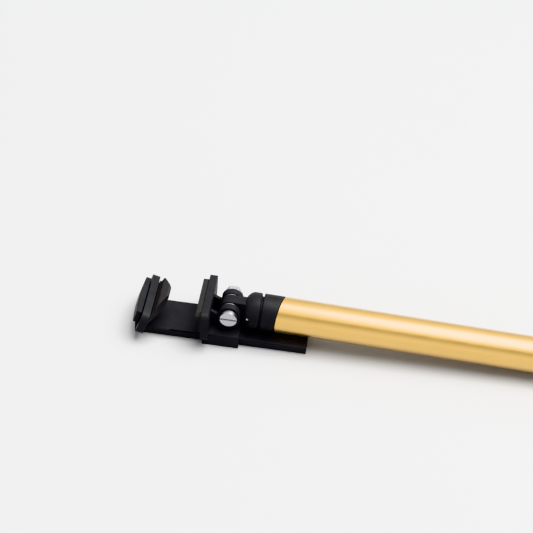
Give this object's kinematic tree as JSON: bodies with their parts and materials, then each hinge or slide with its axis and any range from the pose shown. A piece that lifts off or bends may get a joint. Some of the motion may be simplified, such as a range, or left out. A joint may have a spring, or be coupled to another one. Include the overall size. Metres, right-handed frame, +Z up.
{
  "type": "selfie stick",
  "caption": "Pocket telescopic stick with a gold sleeve and a folding, sprung phone clamp tucked flat under its front end.",
  "frame": {"origin": "on the table under the middle of the whole object's box", "axes": "+X along the stick from the clamp towards the tail, +Y across the clamp, +Z up"},
  "size_m": [0.1726, 0.023, 0.0162],
  "materials": {
    "gold_sleeve": "satin gold anodised aluminium",
    "black_plastic": "fine-textured black moulded plastic",
    "jaw_rubber": "matt black rubber",
    "bright_tube": "bright drawn tube",
    "nylon": "natural nylon",
    "steel": "zinc-plated steel"
  },
  "bodies": {
    "handle": {"handle_tube": "gold_sleeve", "front_collar": "black_plastic", "tail_plug": "black_plastic"},
    "section_2": {"section_tube_2": "bright_tube", "section_bush_2": "nylon"},
    "section_3": {"section_tube_3": "bright_tube", "section_bush_3": "nylon"},
    "section_4": {"section_tube_4": "bright_tube", "section_bush_4": "nylon"},
    "head": {"section_tube_5": "bright_tube", "section_bush_5": "nylon", "head": "black_plastic", "head_pin": "steel"},
    "carriage": {"clamp_carriage": "black_plastic", "near_jaw_pad": "jaw_rubber", "tilt_bolt": "steel", "tilt_nut": "steel", "friction_washer_near": "steel", "friction_washer_far": "steel"},
    "rail": {"clamp_rail": "black_plastic", "rail_cover": "black_plastic", "rail_spring_pin": "steel", "cover_screw_near": "steel", "cover_screw_far": "steel", "clamp_spring": "steel"},
    "jaw": {"jaw_slider": "steel", "far_jaw": "black_plastic", "far_jaw_cover": "black_plastic", "far_jaw_pad": "jaw_rubber", "jaw_screw_near": "steel", "jaw_screw_far": "steel", "slider_spring_pin": "steel"}
  },
  "joints": [
    {"name": "section_2_slide", "type": "slide", "parent": "handle", "child": "section_2", "axis": [-0.9995, 0, 0.0318], "range_m": [0, 0.1]},
    {"name": "section_3_slide", "type": "slide", "parent": "section_2", "child": "section_3", "axis": [-0.9995, 0, 0.0318], "range_m": [0, 0.1]},
    {"name": "section_4_slide", "type": "slide", "parent": "section_3", "child": "section_4", "axis": [-0.9995, 0, 0.0318], "range_m": [0, 0.1]},
    {"name": "head_slide", "type": "slide", "parent": "section_4", "child": "head", "axis": [-0.9995, 0, 0.0318], "range_m": [0, 0.1]},
    {"name": "clamp_tilt", "type": "hinge", "parent": "head", "child": "carriage", "pos_m": [-0.05477, 0, 0.01046], "axis": [0, 1, 0], "range_deg": [0, 100]},
    {"name": "rail_slide", "type": "slide", "parent": "carriage", "child": "rail", "axis": [-1, 0, 0], "range_m": [0, 0.02]},
    {"name": "jaw_slide", "type": "slide", "parent": "rail", "child": "jaw", "axis": [-1, 0, 0], "range_m": [0, 0.034], "stiffness_N_per_m": 110, "springref_m": -0.02, "deforming": ["clamp_spring"]}
  ]
}
